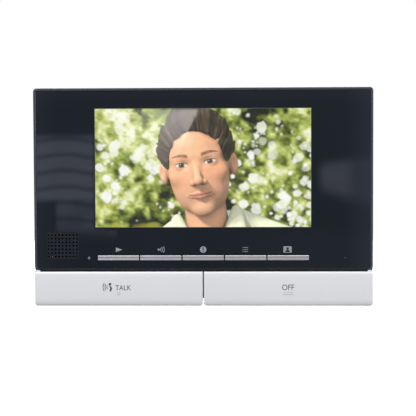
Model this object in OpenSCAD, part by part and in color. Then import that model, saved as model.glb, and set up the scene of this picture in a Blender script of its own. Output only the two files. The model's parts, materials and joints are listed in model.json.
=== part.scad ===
// Wall-mounted video intercom monitor with its wall bracket. Millimetres, +Z up, +X to the
// right as seen from the front. The front faces -Y and the wall is the plane Y = 0. The origin
// is the centre of the bracket's screw pattern, on the wall. A "d" is a depth: the distance
// from the wall towards the front, so Y = -d.

/* [Body] */
// Width over the front case and the two large keys
body_w = 242; // [236:1:320]
// Height from the bottom of the large keys to the top of the front case
body_h = 156; // [152:1:210]
// Depth from the wall to the raised marks on the large keys
body_d = 28; // [28:0.5:40]
// Wall thickness of the front case
case_wall = 2.2; // [1.6:0.1:2.8]
// Wall thickness of the rear cover
cover_wall = 2.2; // [1.6:0.1:2.8]
// Corner radius of the front case
corner_r = 2.5; // [1:0.1:6]
// Depth of the rear cover behind the front case
cover_d = 11.5; // [10.5:0.5:14]
// Distance from the side of the front case to the side of the rear cover
cover_inset = 8; // [6:0.5:12]

/* [Front panel] */
// Thickness of the black front panel and its window
panel_t = 1.8; // [1.2:0.1:2.4]
// Width of the case's rim round the panel
rim_w = 2.1; // [1.6:0.1:3]
// Width of the picture window
screen_w = 154.2; // [120:0.1:158]
// Height of the picture window
screen_h = 84.9; // [70:0.1:88]
// Distance from the top of the case to the window
screen_top = 14.6; // [12:0.1:20]

/* [Large keys] */
// Height of the two large keys
key_h = 24.7; // [20:0.1:32]
// How far the large keys stand out in front of the panel
key_proud = 0.75; // [0.5:0.05:2]
// Height of the marks for the fingertips on the large keys
mark_h = 0.25; // [0.1:0.05:0.5]
// Gap between the two large keys
key_split = 0.85; // [0.5:0.05:2]
// Gap between the large keys and the rim above them
key_gap = 1.5; // [0.6:0.1:2]
// How far the large keys hang below the case
key_overhang = 5; // [3:0.5:7]
// Corner radius of the large keys
key_corner_r = 2; // [0.5:0.1:3]
// Skin of a large key
key_skin = 1.8; // [1.2:0.1:2.2]
// Radius of the hinge pins
pin_r = 1; // [0.7:0.05:1.2]
// Running clearance round a hinge pin or a switch plunger
run_gap = 0.05; // [0.02:0.01:0.1]

/* [Function keys] */
// Width of one function key
fkey_w = 29.5; // [20:0.1:32]
// Height of one function key
fkey_h = 3.7; // [3:0.1:5]
// Gap between function keys
fkey_gap = 0.85; // [0.5:0.05:2]
// How far the function keys stand out of the panel
fkey_proud = 0.6; // [0.3:0.1:1]
// Clearance round the keys in their slot
slot_gap = 0.3; // [0.2:0.05:0.5]
// Height of the key row above the lower edge of the panel
fkey_up = 8.4; // [7:0.1:12]

/* [Speaker and microphone] */
// Width of the speaker grille
grille_w = 23.5; // [18:0.5:26]
// Height of the speaker grille
grille_h = 19.4; // [14:0.2:22]
// Pitch of the grille's holes
grille_pitch = 2.57; // [2.2:0.01:3.2]
// Radius of the grille's holes
grille_hole_r = 0.7; // [0.4:0.05:0.9]
// Radius of the speaker
speaker_r = 14; // [10:0.5:14]

/* [Display module] */
// Width of the display module round the window
lcd_edge_x = 5.4; // [4:0.1:7]
// Height of the display module above and below the window
lcd_edge_z = 7.3; // [5:0.1:9]
// Thickness of the display module
lcd_t = 5.6; // [4:0.1:6]

/* [Wall bracket] */
// Width of the bracket plate
bracket_w = 150; // [140:1:170]
// Height of the bracket plate
bracket_h = 104; // [100:1:112]
// Thickness of the bracket's sheet
bracket_t = 1.2; // [1:0.1:1.5]
// Width of the cable opening
cable_w = 62; // [50:1:70]
// Height of the cable opening
cable_h = 52; // [40:1:60]
// Spacing of the gang box screws
gang_pitch = 83.5; // [80:0.1:90]
// Horizontal spacing of the four wall screws
wall_pitch_x = 126; // [110:1:130]
// Vertical spacing of the four wall screws
wall_pitch_z = 90; // [80:1:92]
// Radius of the screw holes
screw_hole_r = 2.25; // [1.75:0.05:2.75]
// Width of a hook
hook_w = 12; // [8:0.5:14]
// Length of a hook's finger
hook_finger = 5; // [4:0.5:6]
// How far the monitor lifts to come off the hooks
lift = 6.5; // [6.2:0.1:8]

/* [Hidden] */
$fn = 48;
eps = 0.01;               // overlap of a cut past the face it opens
fit = 0.03;               // clearance of a screw in its tapped post
seat = 0.2;               // clearance between parts that are stacked

// Outline of the body
side = body_w / 2;
top = body_h / 2;
bottom = -body_h / 2;
key_top = bottom + key_h;
panel_bottom = key_top + key_gap;
case_bottom = bottom + key_overhang;

// Depths from the front
key_face_d = body_d - mark_h;
panel_d = key_face_d - key_proud;
deck_d = panel_d - panel_t;
deck_t = 2;
deck_back_d = deck_d - deck_t;
key_deck_d = body_d - 6.4;
key_deck_back_d = key_deck_d - deck_t;
lcd_d = deck_d - seat;
lcd_back_d = lcd_d - lcd_t;
lcd_frame_d = lcd_back_d - seat;
lcd_frame_t = 1;
standoff_h = 1.8;
board_t = 1.6;
board_d = lcd_frame_d - lcd_frame_t - standoff_h;
board_back_d = board_d - board_t;
key_board_d = deck_back_d - 5.4;
key_board_back_d = key_board_d - board_t;

// Depths from the wall
cover_back_d = 0.6;
flange_t = 1.6;
flange_d = cover_d + flange_t;
recess_d = bracket_t + 3.4;
recess_in_d = recess_d + cover_wall;

// Rear cover and its recess for the bracket
cover_side = side - cover_inset;
cover_top = top - 8;
cover_bottom = case_bottom + 6;
recess_side = bracket_w / 2 + 1;
recess_top = bracket_h / 2 + 1.5;
recess_bottom = -bracket_h / 2 - lift - 1;
well_x = cover_side - 4.8;
well_z = [cover_bottom + 7, cover_top - 8];
well_r = 3.2;
well_floor_d = flange_d - 2.2;

// Hooks
hook_x = 52;
hook_z = [-24, 36];
hook_gap = 0.4;
hook_rest = 0.1;
finger_back_d = recess_in_d + hook_gap;
finger_d = finger_back_d + bracket_t;
pocket_d = finger_d + 0.6;
pocket_wall = 1;

// Window and display module
screen_z = top - screen_top - screen_h / 2;
lcd_side = screen_w / 2 + lcd_edge_x;
lcd_top = screen_z + screen_h / 2 + lcd_edge_z;
lcd_bottom = screen_z - screen_h / 2 - lcd_edge_z;
bezel_t = 0.3;
glass_t = 1.2;

// Main board, its posts and the ribbon window of the display frame
post_x = lcd_side + 4.5;
board_side = post_x + 4;
board_bottom = -18;
board_top = lcd_top - 2.7;
post_z = [board_bottom + 6, board_top - 6];
post_r = 3;
ribbon_x = -22;
ribbon_w = 26;
ribbon_z = 28;
ribbon_t = 0.3;

// Screws: shank radius, head radius and height
screw_r = 1.4;
screw_head_r = 2.75;
screw_head_h = 1.8;
small_r = 1;
small_head_r = 1.9;
small_head_h = 1.2;
case_screw_len = 8;

// Key row, indicator, microphone and speaker
fkey_z = panel_bottom + fkey_up;
fkey_pitch = fkey_w + fkey_gap;
fkey_x = [for (i = [-2:2]) i * fkey_pitch];
fkey_slot_side = 2.5 * fkey_w + 2 * fkey_gap + slot_gap;
fkey_flange_h = fkey_h + 2.8;
fkey_flange_t = 0.8;
led_x = -side + 39.2;
led_z = fkey_z;
led_r = 0.95;
mic_x = side - 20;
mic_hole_r = 0.6;
mic_r = 2.4;
boot_r = 3.2;
speaker_x = -side + 20.3;
speaker_z = panel_bottom + 17.2;
magnet_r = 7.5;
gasket_t = 0.8;

// Key board and its switches
key_board_x = [led_x - 2.5, mic_x + boot_r + 0.2];
key_board_z = [case_bottom + case_wall + 0.8, fkey_z + 12];
key_post_x = [-67, 0, 67];
key_post_r = 2.6;
post_gap = 1;
key_post_z = min(fkey_z + 7.5, lcd_bottom - key_post_r - post_gap);
switch_size = 6;
switch_body_h = 2.6;
switch_d = key_board_d + switch_body_h;
plunger_r = 1.7;
plunger_out = 1.3;
plunger_d = switch_d + plunger_out;
plunger_back_d = key_board_d + 1;
press_gap = 0.1;

// Hinges of the large keys
pin_inset = 4.2;          // hinge axis behind the marks and below the keys' upper edge
switch_drop = 8.8;        // switch below the hinge axis
axis_d = body_d - pin_inset;
axis_z = key_top - pin_inset;
lug_r = 1.9;
lug_w = 3;
ear_w = 2;
lug_gap = 0.2;
key_switch_z = axis_z - switch_drop;
hinge_in = [14, side - 13];
tab_w = 3.8;
tab_rise = 1.1;
key_wall = 1.6;
key_crown_r = 320;
key_inner = key_split / 2;
key_mid_x = (side + key_inner) / 2;
mark_z = bottom + 9.1;
dot_r = 0.8;
dash = [7, 1.3];

// Terminal blocks on the main board, reached through the bracket's cable opening
terminal_z = [-16, -5];
signal_x = [-26, 7];
power_x = [11, 27];
terminal_back_d = recess_d + 0.4;
terminal_pitch = 5.5;
terminal_r = 2;

// Power board beside the bracket's recess
power_board_x = [recess_side + cover_wall + 1.3, cover_side - cover_wall - 6.8];
power_board_z = [-4, 46];
power_board_d = board_back_d - 0.2;
power_board_back_d = power_board_d - 1.6;

// --- Helpers -------------------------------------------------------------------------------

// A rectangle with rounded corners, in the plane of the wall
module outline(x, z, r = 0) {
    w = x[1] - x[0];
    h = z[1] - z[0];
    if (r == 0) translate([x[0], z[0]]) square([w, h]);
    else {
        translate([x[0] + r, z[0]]) square([w - 2 * r, h]);
        translate([x[0], z[0] + r]) square([w, h - 2 * r]);
        for (px = [x[0] + r, x[1] - r], pz = [z[0] + r, z[1] - r])
            translate([px, pz]) circle(r = r);
    }
}

// A plate parallel to the wall between two depths, the smaller depth first
module slab(x, z, d, r = 0) {
    translate([0, -d[0], 0]) rotate([90, 0, 0]) linear_extrude(d[1] - d[0]) outline(x, z, r);
}

// A round bar that points away from the wall
module rod(x, z, d, r) {
    translate([x, -d[0], z]) rotate([90, 0, 0]) cylinder(h = d[1] - d[0], r = r);
}

// A round bar along X at a depth and a height
module bar(x, d, z, r) {
    translate([x[0], -d, z]) rotate([0, 90, 0]) cylinder(h = x[1] - x[0], r = r);
}

// A profile drawn in (depth, height), extruded along X
module along_x(x) {
    translate([x[1], 0, 0]) rotate([90, 0, -90]) linear_extrude(x[1] - x[0]) children();
}

// A thin strip that follows points (depth, height)
module strip(x, path, t) {
    n = len(path);
    dirs = [for (i = [0:n - 1]) path[min(i + 1, n - 1)] - path[max(i - 1, 0)]];
    off = [for (v = dirs) [-v[1], v[0]] / norm(v) * t / 2];
    along_x(x) polygon(concat([for (i = [0:n - 1]) path[i] + off[i]],
                              [for (i = [n - 1:-1:0]) path[i] - off[i]]));
}

// A screw driven towards the front, with its head's underside at head_d
module screw(x, z, head_d, len, r, head_r, head_h) {
    difference() {
        union() {
            rod(x, z, [head_d - eps, head_d + len], r);
            rod(x, z, [head_d - head_h, head_d], head_r);
        }
        for (a = [0, 90]) translate([x, -(head_d - head_h), z]) rotate([0, a, 0])
            cube([head_r * 1.2, head_h, head_r * 0.3], center = true);
    }
}

function around(c, size) = [c - size / 2, c + size / 2];

// --- Wall bracket --------------------------------------------------------------------------

module hook(x, z) {
    slab(around(x, hook_w), [z - bracket_t, z], [bracket_t - eps, finger_d]);
    slab(around(x, hook_w), [z - bracket_t, z + hook_finger], [finger_back_d, finger_d]);
}

module wall_bracket() color([0.72, 0.74, 0.76]) {
    difference() {
        slab(around(0, bracket_w), around(0, bracket_h), [0, bracket_t], 4);
        slab(around(0, cable_w), around(0, cable_h), [-eps, bracket_t + eps], 4);
        for (s = [-1, 1]) rod(0, s * gang_pitch / 2, [-eps, bracket_t + eps], screw_hole_r);
        for (sx = [-1, 1], sz = [-1, 1])
            rod(sx * wall_pitch_x / 2, sz * wall_pitch_z / 2, [-eps, bracket_t + eps],
                screw_hole_r);
        for (s = [-1, 1], z = hook_z)
            slab(around(s * hook_x, hook_w + 2), [z, z + hook_finger + 2.2],
                 [-eps, bracket_t + eps], 0.8);
    }
    for (s = [-1, 1], z = hook_z) hook(s * hook_x, z);
    for (s = [-1, 1])
        slab(around(s * (bracket_w / 2 - bracket_t / 2), bracket_t),
             [-bracket_h / 2 + 8, bracket_h / 2 - 8], [bracket_t - eps, bracket_t + 2.4]);
}

// --- Rear cover ----------------------------------------------------------------------------

module hook_slot(x, z) {
    slab(around(x, hook_w + 1.2), [z - bracket_t - lift - 0.7, z + hook_rest],
         [recess_d - eps, pocket_d]);
    slab(around(x, hook_w + 1.2), [z - bracket_t - lift - 0.7, z + hook_finger + 0.8],
         [recess_in_d, pocket_d]);
}

module hook_pocket(x, z) {
    slab(around(x, hook_w + 1.2 + 2 * pocket_wall),
         [z - bracket_t - lift - 0.7 - pocket_wall, z + hook_finger + 0.8 + pocket_wall],
         [recess_in_d - eps, pocket_d + pocket_wall]);
}

module rear_cover() color([0.16, 0.16, 0.17]) difference() {
    union() {
        difference() {
            slab([-cover_side, cover_side], [cover_bottom, cover_top],
                 [cover_back_d, flange_d], 5);
            slab([-cover_side + cover_wall, cover_side - cover_wall],
                 [cover_bottom + cover_wall, cover_top - cover_wall],
                 [cover_back_d + cover_wall, flange_d + eps], 3);
        }
        difference() {
            slab([-side + case_wall + seat, side - case_wall - seat],
                 [case_bottom + case_wall + seat, top - case_wall - seat],
                 [cover_d, flange_d], 1);
            slab([-cover_side + cover_wall, cover_side - cover_wall],
                 [cover_bottom + cover_wall, cover_top - cover_wall],
                 [cover_d - eps, flange_d + eps], 3);
        }
        slab([-recess_side - cover_wall, recess_side + cover_wall],
             [recess_bottom - cover_wall, recess_top + cover_wall],
             [cover_back_d, recess_in_d]);
        for (s = [-1, 1], z = hook_z) hook_pocket(s * hook_x, z);
        for (s = [-1, 1], z = well_z)
            rod(s * well_x, z, [cover_back_d, flange_d], well_r + 1.4);
    }
    slab([-recess_side, recess_side], [recess_bottom, recess_top],
         [cover_back_d - eps, recess_d], 3);
    for (s = [-1, 1], z = hook_z) hook_slot(s * hook_x, z);
    for (s = [-1, 1], z = well_z) {
        rod(s * well_x, z, [cover_back_d - eps, well_floor_d], well_r);
        rod(s * well_x, z, [well_floor_d - eps, flange_d + eps], screw_r + 0.3);
    }
    for (x = [signal_x, power_x])
        slab([x[0] - 0.4, x[1] + 0.4], [terminal_z[0] - 0.4, terminal_z[1] + 0.4],
             [recess_d - eps, recess_in_d + eps]);
    for (i = [0:8])
        slab([-cover_side + 8, -recess_side - cover_wall - 4], around(-14 + 6 * i, 2.4),
             [cover_back_d - eps, cover_back_d + cover_wall + eps], 1.1);
    for (i = [0:6])
        slab([recess_side + cover_wall + 4, cover_side - 8], around(8 + 6 * i, 2.4),
             [cover_back_d - eps, cover_back_d + cover_wall + eps], 1.1);
    for (x = [-60:12:60])
        translate([x - 4, -cover_d + 1.5, cover_top - cover_wall - eps])
            cube([8, 2, cover_wall + 2 * eps]);
}

module wall_pads() color([0.1, 0.1, 0.1])
    for (s = [-1, 1], z = [cover_bottom + 5, cover_top - 5])
        rod(s * (well_x - 14), z, [cover_back_d - 0.5, cover_back_d], 3.5);

module rating_plate() color([0.75, 0.75, 0.74])
    slab([recess_side + cover_wall + 4, cover_side - 6], [-46, -8],
         [cover_back_d - 0.2, cover_back_d], 1.5);

// --- Front case ----------------------------------------------------------------------------

// Where the pairs of hinge ears stand: x of each lug's middle
hinge_x = [-hinge_in[1], -hinge_in[0], hinge_in[0], hinge_in[1]];

module hinge_ears(x) for (s = [-1, 1]) {
    ear = around(x + s * (lug_w / 2 + lug_gap + ear_w / 2), ear_w);
    bar(ear, axis_d, axis_z, lug_r);
    slab(ear, around(axis_z, 2 * lug_r), [key_deck_d - eps, axis_d]);
}

module front_case() color([0.09, 0.1, 0.11]) difference() {
    union() {
        difference() {
            union() {
                slab([-side, side], [panel_bottom, top], [cover_d, panel_d], corner_r);
                slab([-side, side], [case_bottom, panel_bottom + corner_r + 1],
                     [cover_d, key_deck_d], corner_r);
                slab([-side, side], [panel_bottom, panel_bottom + 2 * corner_r],
                     [cover_d, panel_d - 2], 0);
            }
            slab([-side + rim_w, side - rim_w], [panel_bottom + 1, top - rim_w],
                 [deck_d, panel_d + eps], 1);
            slab([-side + case_wall, side - case_wall],
                 [panel_bottom + deck_t, top - case_wall], [cover_d - eps, deck_back_d], 1);
            slab([-side + case_wall, side - case_wall],
                 [case_bottom + case_wall, panel_bottom + deck_t + 4],
                 [cover_d - eps, key_deck_back_d], 1);
        }
        for (s = [-1, 1], z = post_z)
            rod(s * post_x, z, [lcd_frame_d, deck_back_d + eps], post_r);
        for (x = key_post_x) rod(x, key_post_z, [key_board_d, deck_back_d + eps], key_post_r);
        for (s = [-1, 1]) {
            rod(s * well_x, well_z[0], [flange_d, key_deck_back_d + eps], 3.5);
            rod(s * well_x, well_z[1], [flange_d, deck_back_d + eps], 3.5);
        }
        for (x = hinge_x) hinge_ears(x);
    }
    // display module, keys, speaker, indicator and microphone
    slab([-lcd_side - 0.4, lcd_side + 0.4], [lcd_bottom - 0.4, lcd_top + 0.4],
         [deck_back_d - eps, deck_d + eps]);
    slab([-fkey_slot_side, fkey_slot_side], around(fkey_z, fkey_h + 2 * slot_gap),
         [deck_back_d - eps, deck_d + eps]);
    slab(around(speaker_x, grille_w - 2.4), around(speaker_z, grille_h - 2.4),
         [deck_back_d - eps, deck_d + eps]);
    rod(led_x, led_z, [deck_back_d - eps, deck_d + eps], led_r + 0.05);
    rod(mic_x, fkey_z, [deck_back_d - eps, deck_d + eps], mic_hole_r);
    for (s = [-1, 1])
        slab(around(s * key_mid_x, switch_size + 1), around(key_switch_z, switch_size + 1),
             [key_deck_back_d - eps, key_deck_d + eps]);
    // tapped posts
    for (s = [-1, 1], z = post_z)
        rod(s * post_x, z, [lcd_frame_d - eps, deck_back_d - 0.6], screw_r + fit);
    for (x = key_post_x)
        rod(x, key_post_z, [key_board_d - eps, deck_back_d - 0.6], small_r + fit);
    for (s = [-1, 1], z = well_z)
        rod(s * well_x, z, [flange_d - eps, well_floor_d + case_screw_len + 0.3],
            screw_r + fit);
    // bores of the hinge ears
    for (x = hinge_x)
        bar(around(x, lug_w + 2 * lug_gap + 2 * ear_w + 2 * eps), axis_d, axis_z, pin_r + 0.01);
}

module front_panel() color([0.05, 0.06, 0.07]) difference() {
    slab([-side + rim_w + 0.05, side - rim_w - 0.05],
         [panel_bottom + 1.05, top - rim_w - 0.05], [deck_d, panel_d], 0.95);
    slab(around(0, screen_w + 0.04), around(screen_z, screen_h + 0.04),
         [deck_d - eps, panel_d + eps]);
    slab([-fkey_slot_side, fkey_slot_side], around(fkey_z, fkey_h + 2 * slot_gap),
         [deck_d - eps, panel_d + eps]);
    slab(around(speaker_x, grille_w + 0.2), around(speaker_z, grille_h + 0.2),
         [deck_d - eps, panel_d + eps], 0.6);
    rod(led_x, led_z, [deck_d - eps, panel_d + eps], led_r + 0.05);
    rod(mic_x, fkey_z, [deck_d - eps, panel_d + eps], mic_hole_r);
}

module display_window() color([0.6, 0.7, 0.8, 0.4])
    slab(around(0, screen_w), around(screen_z, screen_h), [deck_d, panel_d]);

// --- Speaker, microphone and indicator ----------------------------------------------------

module speaker_grille() color([0.07, 0.07, 0.08]) difference() {
    slab(around(speaker_x, grille_w), around(speaker_z, grille_h), [deck_d, panel_d - 0.15],
         0.5);
    slab(around(speaker_x, grille_w - 2.4), around(speaker_z, grille_h - 2.4),
         [deck_d - eps, deck_d + 0.7]);
    for (i = [-4:4], j = [-3:3])
        rod(speaker_x + i * grille_pitch, speaker_z + j * grille_pitch,
            [deck_d - eps, panel_d + eps], grille_hole_r);
}

speaker_d = deck_back_d - gasket_t;

module speaker_gasket() color([0.2, 0.2, 0.2]) difference() {
    rod(speaker_x, speaker_z, [speaker_d, deck_back_d], speaker_r);
    rod(speaker_x, speaker_z, [speaker_d - eps, deck_back_d + eps], speaker_r - 2);
}

module speaker_frame() color([0.55, 0.56, 0.58])
    translate([speaker_x, -speaker_d, speaker_z]) rotate([-90, 0, 0]) rotate_extrude()
        polygon([[speaker_r - 2.2, 0], [speaker_r, 0], [speaker_r, 1.4], [11.2, 1.6], [9, 6.4],
                 [magnet_r - 4, 6.4], [magnet_r - 4, 5.6], [8.4, 5.6], [10.4, 1.2],
                 [speaker_r - 2.2, 1]]);

module speaker_cone() color([0.12, 0.12, 0.12])
    translate([speaker_x, -speaker_d, speaker_z]) rotate([-90, 0, 0]) rotate_extrude()
        polygon([[0, 2.2], [2.4, 2.6], [3.2, 3.6], [9.4, 1.0], [10.6, 0.5], [11.4, 0.5],
                 [11.4, 0.8], [10.6, 0.8], [9.4, 1.4], [3.2, 4.2], [3.2, 5.2], [2.8, 5.2],
                 [2.8, 4], [2.2, 3], [0, 2.6]]);

module speaker_magnet() color([0.5, 0.51, 0.53])
    rod(speaker_x, speaker_z, [speaker_d - 6.4 - 4.6, speaker_d - 6.4], magnet_r);

module microphone() color([0.7, 0.71, 0.72])
    rod(mic_x, fkey_z, [key_board_d + 1.2, deck_back_d - 0.8], mic_r - 0.05);

module microphone_boot() color([0.08, 0.08, 0.08]) difference() {
    rod(mic_x, fkey_z, [key_board_d, deck_back_d], boot_r);
    rod(mic_x, fkey_z, [key_board_d - eps, deck_back_d - 0.8], mic_r);
    rod(mic_x, fkey_z, [deck_back_d - 1, deck_back_d + eps], mic_hole_r);
}

module indicator_led() color([0.9, 0.9, 0.85])
    slab(around(led_x, 2), around(led_z, 1.4), [key_board_d, key_board_d + 0.8]);

module light_pipe() color([0.85, 0.88, 0.9, 0.7]) {
    rod(led_x, led_z, [key_board_d + 1, panel_d], led_r);
    rod(led_x, led_z, [deck_back_d - 0.8, deck_back_d - 0.05], led_r + 0.7);
}

// --- Display module ------------------------------------------------------------------------

module lcd_bezel() color([0.75, 0.76, 0.77]) difference() {
    slab([-lcd_side, lcd_side], [lcd_bottom, lcd_top], [lcd_back_d, lcd_d], 0.6);
    slab([-lcd_side + bezel_t, lcd_side - bezel_t], [lcd_bottom + bezel_t, lcd_top - bezel_t],
         [lcd_back_d - eps, lcd_d - bezel_t]);
    slab(around(0, screen_w + 1), around(screen_z, screen_h + 1), [lcd_back_d, lcd_d + eps]);
}

module lcd_glass() color([0.35, 0.5, 0.35])
    slab(around(0, screen_w + 4), around(screen_z, screen_h + 4),
         [lcd_d - bezel_t - glass_t, lcd_d - bezel_t]);

module lcd_backlight() color([0.93, 0.93, 0.9])
    slab([-lcd_side + bezel_t + 0.1, lcd_side - bezel_t - 0.1],
         [lcd_bottom + bezel_t + 0.1, lcd_top - bezel_t - 0.1],
         [lcd_back_d, lcd_d - bezel_t - glass_t], 0.4);

module lcd_frame() color([0.7, 0.71, 0.73]) difference() {
    union() {
        slab([-lcd_side, lcd_side], [board_bottom + 2, lcd_top - 1],
             [lcd_frame_d - lcd_frame_t, lcd_frame_d], 2);
        for (s = [-1, 1], z = post_z) {
            slab(s > 0 ? [lcd_side - 4, post_x + 4] : [-post_x - 4, -lcd_side + 4],
                 around(z, 8), [lcd_frame_d - lcd_frame_t, lcd_frame_d], 2);
            rod(s * post_x, z, [board_d, lcd_frame_d], 3);
        }
    }
    slab(around(ribbon_x, ribbon_w + 6), [ribbon_z - 12, ribbon_z + 14],
         [board_d, lcd_frame_d + eps], 2);
    for (x = [-58, 24, 58])
        slab(around(x, 22), around(ribbon_z, 30), [board_d, lcd_frame_d + eps], 3);
    for (s = [-1, 1], z = post_z)
        rod(s * post_x, z, [board_d - eps, lcd_frame_d + eps], screw_r + 0.3);
}

// --- Main board ----------------------------------------------------------------------------

module main_board() color([0.1, 0.35, 0.2]) difference() {
    slab([-board_side, board_side], [board_bottom, board_top], [board_back_d, board_d], 1.5);
    for (s = [-1, 1], z = post_z)
        rod(s * post_x, z, [board_back_d - eps, board_d + eps], screw_r + 0.3);
}

// A part soldered to the back of the main board
module on_board(x, z, w, h, t) {
    slab(around(x, w), around(z, h), [board_back_d - t, board_back_d]);
}

module processor_chips() color([0.12, 0.12, 0.13]) {
    on_board(-8, 44, 17, 17, 1.6);
    on_board(14, 46, 9, 13, 1.2);
    on_board(27, 46, 9, 13, 1.2);
    on_board(-30, 20, 10, 8, 1.6);
    on_board(36, 10, 7, 9, 1.6);
}

module shield_can() color([0.78, 0.79, 0.8]) difference() {
    on_board(-70, 44, 22, 30, 3);
    slab(around(-70, 21.4), around(44, 29.4), [board_back_d - 2.7, board_back_d + eps]);
}

module ribbon_connectors() color([0.9, 0.88, 0.8]) {
    slab(around(ribbon_x, ribbon_w + 3), around(ribbon_z - 9.5, 4), [board_d, board_d + 1.1]);
    on_board(45, board_bottom + 5, 18, 4.4, 1.2);
    slab(around(45, 18), around(key_board_z[1] - 3.4, 4.4),
         [key_board_back_d - 1.2, key_board_back_d]);
    on_board(-62, board_bottom + 5, 8, 5, 4);
}

module capacitors() color([0.2, 0.24, 0.4]) {
    for (x = [-34, -24, 36]) rod(x, 58, [board_back_d - 5.6, board_back_d], 3.2);
    for (x = [-44, -36]) rod(x, -6, [board_back_d - 5, board_back_d], 2.5);
}

module door_relay() color([0.15, 0.3, 0.55]) on_board(-1, 18, 15.5, 10.5, 5.6);

module signal_terminal_block() color([0.25, 0.45, 0.3]) difference() {
    slab(signal_x, terminal_z, [terminal_back_d, board_back_d]);
    for (i = [0:5])
        rod(signal_x[0] + (i + 0.5) * terminal_pitch, terminal_z[1] - 3.6,
            [terminal_back_d - eps, terminal_back_d + 4.2], terminal_r + 0.1);
    for (i = [0:5])
        slab(around(signal_x[0] + (i + 0.5) * terminal_pitch, 3.2),
             [terminal_z[0] - eps, terminal_z[0] + 4.6],
             [terminal_back_d - eps, terminal_back_d + 3.4]);
}

module power_terminal_block() color([0.15, 0.15, 0.16]) difference() {
    slab(power_x, terminal_z, [terminal_back_d, board_back_d]);
    for (i = [0:1])
        rod(power_x[0] + 4 + i * 8, terminal_z[1] - 3.6,
            [terminal_back_d - eps, terminal_back_d + 4.2], terminal_r + 0.1);
    for (i = [0:1])
        slab(around(power_x[0] + 4 + i * 8, 4.4), [terminal_z[0] - eps, terminal_z[0] + 4.6],
             [terminal_back_d - eps, terminal_back_d + 3.4]);
}

module terminal_screws() color([0.8, 0.8, 0.78])
    for (x = concat([for (i = [0:5]) signal_x[0] + (i + 0.5) * terminal_pitch],
                    [for (i = [0:1]) power_x[0] + 4 + i * 8]))
        difference() {
            rod(x, terminal_z[1] - 3.6, [terminal_back_d + 1.2, terminal_back_d + 4.1],
                terminal_r);
            slab(around(x, 2 * terminal_r + eps), around(terminal_z[1] - 3.6, 0.6),
                 [terminal_back_d + 1.2 - eps, terminal_back_d + 1.9]);
        }

// --- Power board ---------------------------------------------------------------------------

module power_board() color([0.6, 0.45, 0.2])
    slab(power_board_x, power_board_z, [power_board_back_d, power_board_d], 1);

power_mid_x = (power_board_x[0] + power_board_x[1]) / 2;
power_room = power_board_back_d - cover_back_d - cover_wall - 1;

module transformer() color([0.85, 0.7, 0.2]) {
    slab(around(power_mid_x, 16), around(30, 18),
         [power_board_back_d - min(8, power_room), power_board_back_d]);
}

module power_parts() color([0.15, 0.2, 0.35]) {
    rod(power_board_x[0] + 5.5, 12, [power_board_back_d - min(7.5, power_room),
        power_board_back_d], 4);
    rod(power_board_x[0] + 5.5, 2, [power_board_back_d - min(7.5, power_room),
        power_board_back_d], 4);
    slab([power_board_x[0] + 12, power_board_x[1] - 1.5], [6, 14],
         [power_board_back_d - 5, power_board_back_d]);
}

// --- Key board and switches ----------------------------------------------------------------

module key_board() color([0.1, 0.35, 0.2]) difference() {
    slab(key_board_x, key_board_z, [key_board_back_d, key_board_d], 1.5);
    for (x = key_post_x)
        rod(x, key_post_z, [key_board_back_d - eps, key_board_d + eps], small_r + 0.2);
}

// Centre of every switch: the five function keys, then the talk key and the off key
switch_at = concat([for (x = fkey_x) [x, fkey_z]],
                   [[-key_mid_x, key_switch_z], [key_mid_x, key_switch_z]]);

module switch_bodies() color([0.14, 0.14, 0.15])
    for (p = switch_at) difference() {
        slab(around(p[0], switch_size), around(p[1], switch_size), [key_board_d, switch_d]);
        rod(p[0], p[1], [plunger_back_d - 0.6, switch_d + eps], plunger_r + run_gap);
    }

module plunger(i) color([0.75, 0.72, 0.66])
    rod(switch_at[i][0], switch_at[i][1], [plunger_back_d, plunger_d], plunger_r);

module display_ribbon() color([0.85, 0.6, 0.25])
    strip(around(ribbon_x, ribbon_w),
          [[lcd_back_d - ribbon_t, ribbon_z + 12], [lcd_back_d - ribbon_t, ribbon_z + 4],
           [board_d + 1.4, ribbon_z - 3], [board_d + 0.6, ribbon_z - 5],
           [board_d + 0.6, ribbon_z - 7.4]], ribbon_t);

module key_ribbon() color([0.92, 0.92, 0.9])
    strip(around(45, 15),
          [[key_board_back_d - 0.6, key_board_z[1] - 1.1],
           [key_board_back_d - 0.6, key_board_z[1] + 1],
           [board_back_d - 0.6, board_bottom - 1], [board_back_d - 0.6, board_bottom + 2.7]],
          ribbon_t);

// --- Fixings -------------------------------------------------------------------------------

module hinge_pins() color([0.8, 0.8, 0.82])
    for (x = hinge_x) bar(around(x, lug_w + 2 * lug_gap + 2 * ear_w), axis_d, axis_z, pin_r);

module case_screws() color([0.6, 0.6, 0.62])
    for (s = [-1, 1], z = well_z)
        screw(s * well_x, z, well_floor_d, case_screw_len, screw_r, screw_head_r,
              screw_head_h);

module board_screws() color([0.75, 0.75, 0.77])
    for (s = [-1, 1], z = post_z)
        screw(s * post_x, z, board_back_d, deck_back_d - 1 - board_back_d, screw_r,
              screw_head_r, screw_head_h);

module key_board_screws() color([0.75, 0.75, 0.77])
    for (x = key_post_x)
        screw(x, key_post_z, key_board_back_d, deck_back_d - 1 - key_board_back_d, small_r,
              small_head_r, small_head_h);

// --- Large keys ----------------------------------------------------------------------------

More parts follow.
